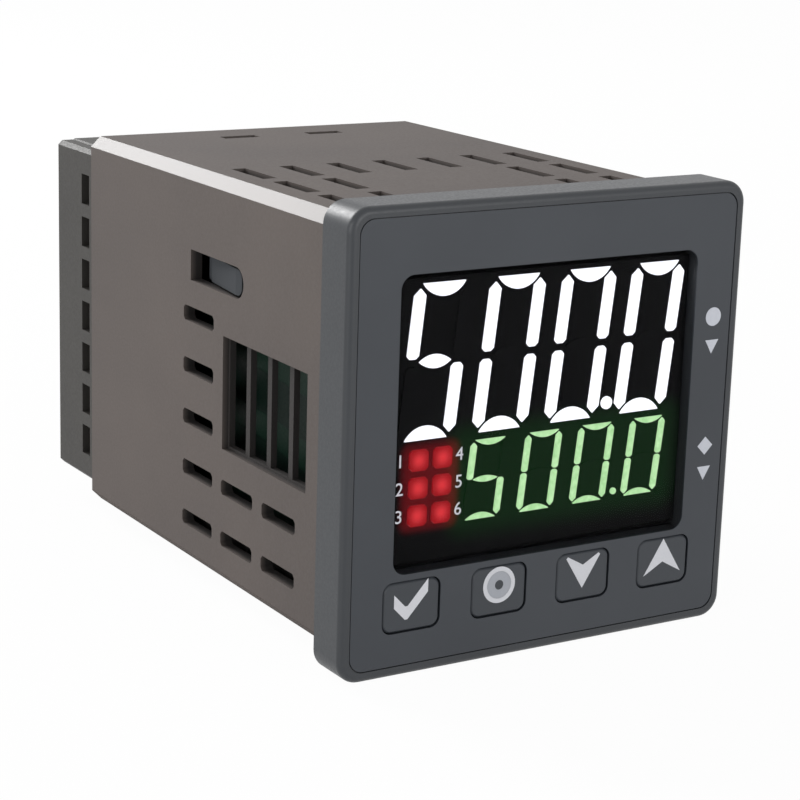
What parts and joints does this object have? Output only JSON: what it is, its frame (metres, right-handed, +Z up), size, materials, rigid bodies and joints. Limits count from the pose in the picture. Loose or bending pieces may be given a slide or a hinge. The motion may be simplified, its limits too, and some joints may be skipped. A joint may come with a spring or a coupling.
{
  "type": "temperature controller",
  "caption": "Square-fronted panel temperature controller: a deep vented case behind a dark display window and a row of push keys, with screw terminals at the rear.",
  "frame": {"origin": "centre of the panel opening, on the bezel's rear face that meets the panel", "axes": "+Y runs back through the panel along the case, +Z is up, +X is to the right as seen from the front"},
  "size_m": [0.048, 0.075, 0.048],
  "materials": {
    "bezel_plastic": "fine moulded texture",
    "overlay_film": "satin printed film",
    "window_lens": "smoked polycarbonate, polished",
    "key_plastic": "satin",
    "plunger_plastic": "moulded",
    "switch_plastic": "moulded",
    "display_black": "matt black face",
    "digit_white": "lit light guide",
    "digit_green": "lit light guide",
    "segment_dark": "unlit light guide",
    "indicator_red": "lit light guide",
    "circuit_board": "green solder resist on glass-epoxy laminate",
    "case_plastic": "fine moulded texture",
    "connector_plastic": "moulded",
    "ferrite": "sintered ferrite",
    "bobbin_plastic": "moulded",
    "copper_winding": "enamelled copper wire under tape",
    "capacitor_sleeve": "shrunk sleeve",
    "chip_black": "moulded epoxy",
    "fuse_plastic": "moulded",
    "varistor_coating": "dipped epoxy",
    "coupler_plastic": "moulded epoxy",
    "relay_plastic": "moulded cover",
    "terminal_plastic": "moulded",
    "contact_brass": "stamped",
    "cage_steel": "zinc plated",
    "screw_steel": "zinc plated"
  },
  "bodies": {
    "instrument": {"front_bezel": "bezel_plastic", "front_overlay": "overlay_film", "display_window": "window_lens", "switch_bodies": "switch_plastic", "display_housing": "display_black", "upper_digits": "digit_white", "lower_digits": "digit_green", "unlit_segments": "segment_dark", "indicator_lenses": "indicator_red", "display_board": "circuit_board", "case_housing": "case_plastic", "power_board": "circuit_board", "main_board": "circuit_board", "board_connectors": "connector_plastic", "transformer_core": "ferrite", "transformer_bobbin": "bobbin_plastic", "transformer_winding": "copper_winding", "input_capacitor": "capacitor_sleeve", "output_capacitors": "capacitor_sleeve", "bridge_rectifier": "chip_black", "fuse": "fuse_plastic", "varistor": "varistor_coating", "microcontroller": "chip_black", "signal_chips": "chip_black", "optocouplers": "coupler_plastic", "output_relays": "relay_plastic", "terminal_block": "terminal_plastic", "terminal_contacts": "contact_brass", "terminal_cages": "cage_steel", "terminal_screws": "screw_steel"},
    "enter_key": {"key_enter": "key_plastic", "plunger_enter": "plunger_plastic"},
    "select_key": {"key_select": "key_plastic", "plunger_select": "plunger_plastic"},
    "down_key": {"key_down": "key_plastic", "plunger_down": "plunger_plastic"},
    "up_key": {"key_up": "key_plastic", "plunger_up": "plunger_plastic"}
  },
  "joints": [
    {"name": "enter_key_press", "type": "slide", "parent": "instrument", "child": "enter_key", "axis": [0, 1, 0], "range_m": [0, 0.0005], "stiffness_N_per_m": 1500},
    {"name": "select_key_press", "type": "slide", "parent": "instrument", "child": "select_key", "axis": [0, 1, 0], "range_m": [0, 0.0005], "stiffness_N_per_m": 1500},
    {"name": "down_key_press", "type": "slide", "parent": "instrument", "child": "down_key", "axis": [0, 1, 0], "range_m": [0, 0.0005], "stiffness_N_per_m": 1500},
    {"name": "up_key_press", "type": "slide", "parent": "instrument", "child": "up_key", "axis": [0, 1, 0], "range_m": [0, 0.0005], "stiffness_N_per_m": 1500}
  ]
}
